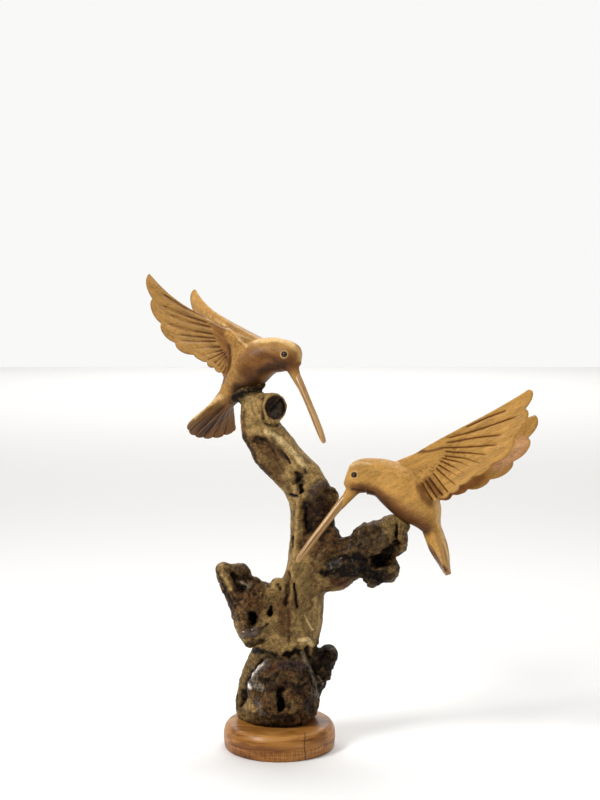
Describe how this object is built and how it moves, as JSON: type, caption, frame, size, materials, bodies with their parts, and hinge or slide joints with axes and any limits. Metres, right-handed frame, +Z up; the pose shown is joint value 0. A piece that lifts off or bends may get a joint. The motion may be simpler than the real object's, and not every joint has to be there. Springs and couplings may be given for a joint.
{
  "type": "hummingbird carving on rootwood",
  "caption": "Carved wooden hummingbirds with raised wings and long bills, perched on a gnarled branching root that stands on a turned wooden disc.",
  "frame": {"origin": "centre of the base disc's flat underside", "axes": "+Z up, the front facing -Y with the root's foot bulb, +X to the right of the front view, the side of the lower bird"},
  "size_m": [0.3211, 0.1671, 0.3852],
  "materials": {
    "base_disc": "turned, satin lacquer",
    "rootwood": "natural root, tan to nearly black in its hollows, gloss lacquer",
    "lower_bird": "carved and sanded, satin lacquer",
    "upper_bird": "carved and sanded, satin lacquer",
    "bill_wood": "straight grained, satin lacquer",
    "eye_bead": "polished bead, nearly black"
  },
  "bodies": {
    "root": {"base_disc": "base_disc", "rootwood": "rootwood", "lower_bird": "lower_bird", "lower_bird_bill": "bill_wood", "lower_bird_eye_left": "eye_bead", "lower_bird_eye_right": "eye_bead", "upper_bird": "upper_bird", "upper_bird_bill": "bill_wood", "upper_bird_eye_left": "eye_bead", "upper_bird_eye_right": "eye_bead"}
  },
  "joints": []
}
